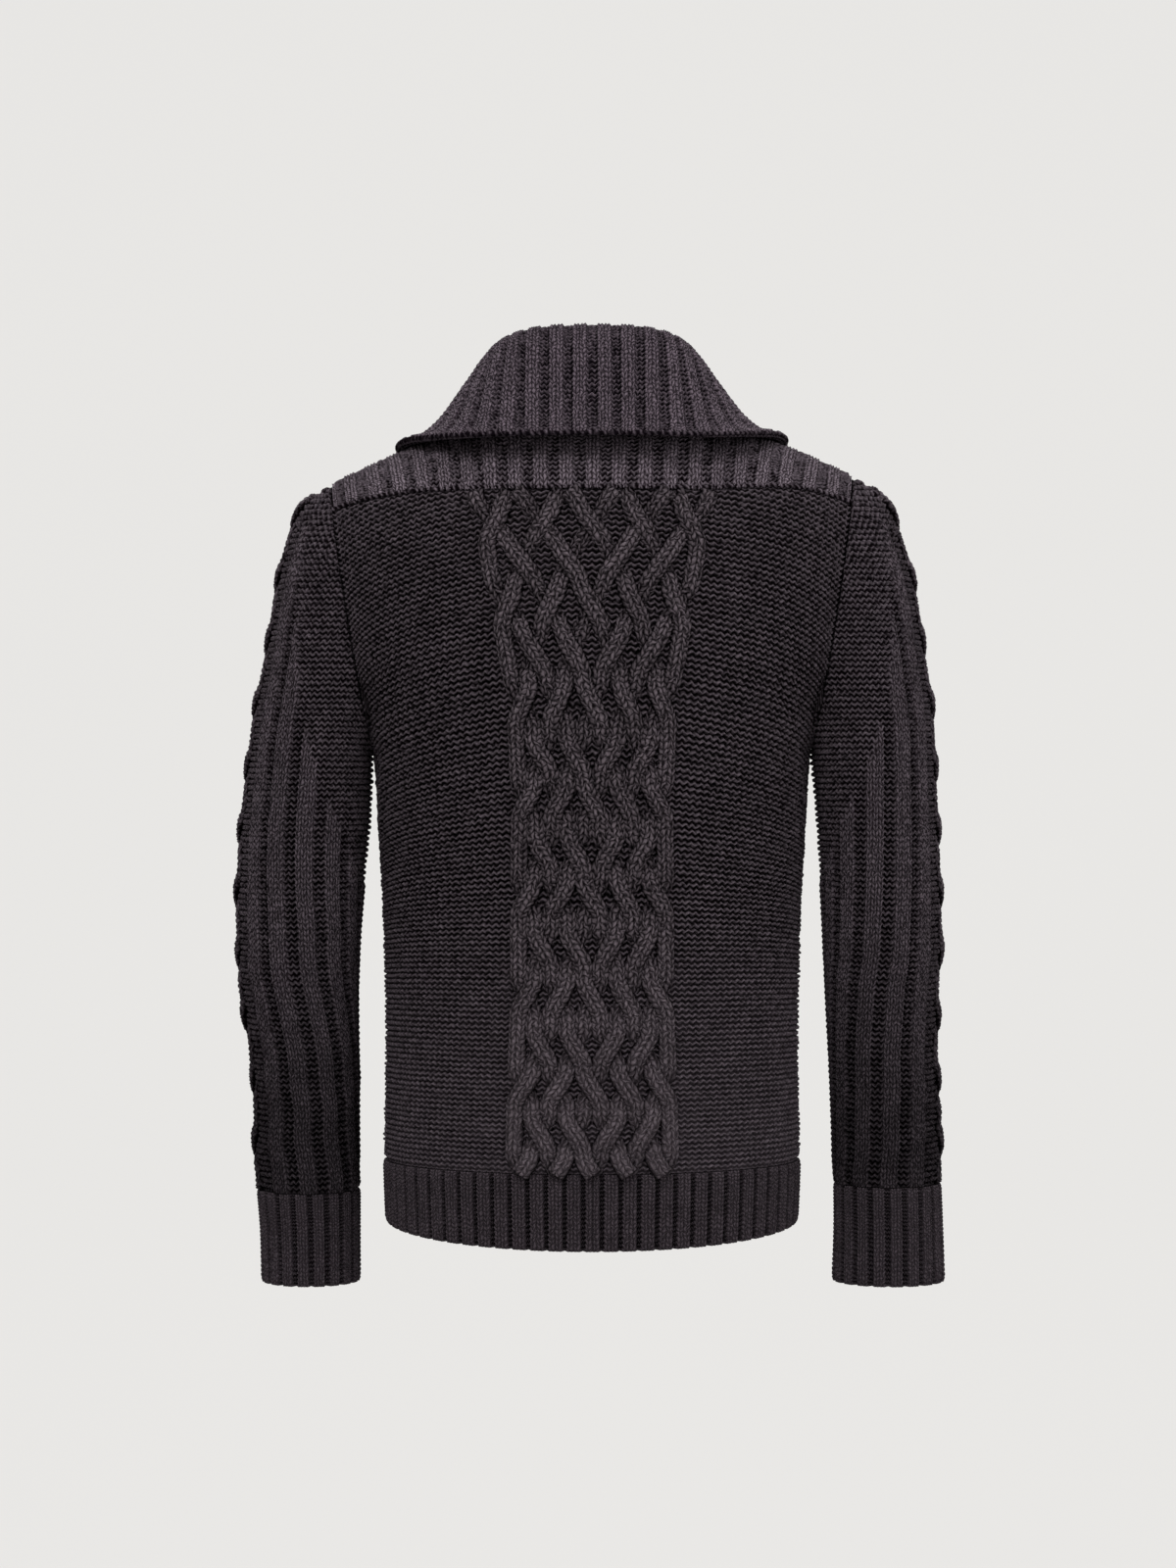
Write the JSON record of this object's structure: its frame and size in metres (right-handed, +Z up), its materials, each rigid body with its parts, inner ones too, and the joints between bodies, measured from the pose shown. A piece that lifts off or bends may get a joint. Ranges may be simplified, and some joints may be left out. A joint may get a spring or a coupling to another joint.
{
  "type": "cable knit sweater",
  "caption": "Hollow worn-form pullover with long sleeves, a folded ribbed shawl collar, ribbed yoke, hem and cuffs, and a plaited lattice cable up the back.",
  "frame": {"origin": "between the shoulders, at the height of the neck points, in the middle plane of the side seams", "axes": "+Z up, -Y to the front of the garment, +X to the wearer's left"},
  "size_m": [0.5668, 0.2891, 0.753],
  "materials": {
    "back_knit": "matt chunky knit, purl side out, with a raised plaited cable",
    "yoke_knit": "matt chunky two by two rib",
    "front_knit": "matt chunky knit, purl side out",
    "sleeve_knit": "matt chunky wide rib with a cable panel",
    "cuff_knit": "matt two by two rib",
    "hem_knit": "matt two by two rib",
    "collar_knit": "matt chunky two by two rib, slightly faded to plum"
  },
  "bodies": {
    "root": {"back_panel": "back_knit", "back_yoke": "yoke_knit", "front_panel": "front_knit", "sleeve_left": "sleeve_knit", "sleeve_right": "sleeve_knit", "cuff_left": "cuff_knit", "cuff_right": "cuff_knit", "hem_band": "hem_knit", "collar": "collar_knit"}
  },
  "joints": []
}
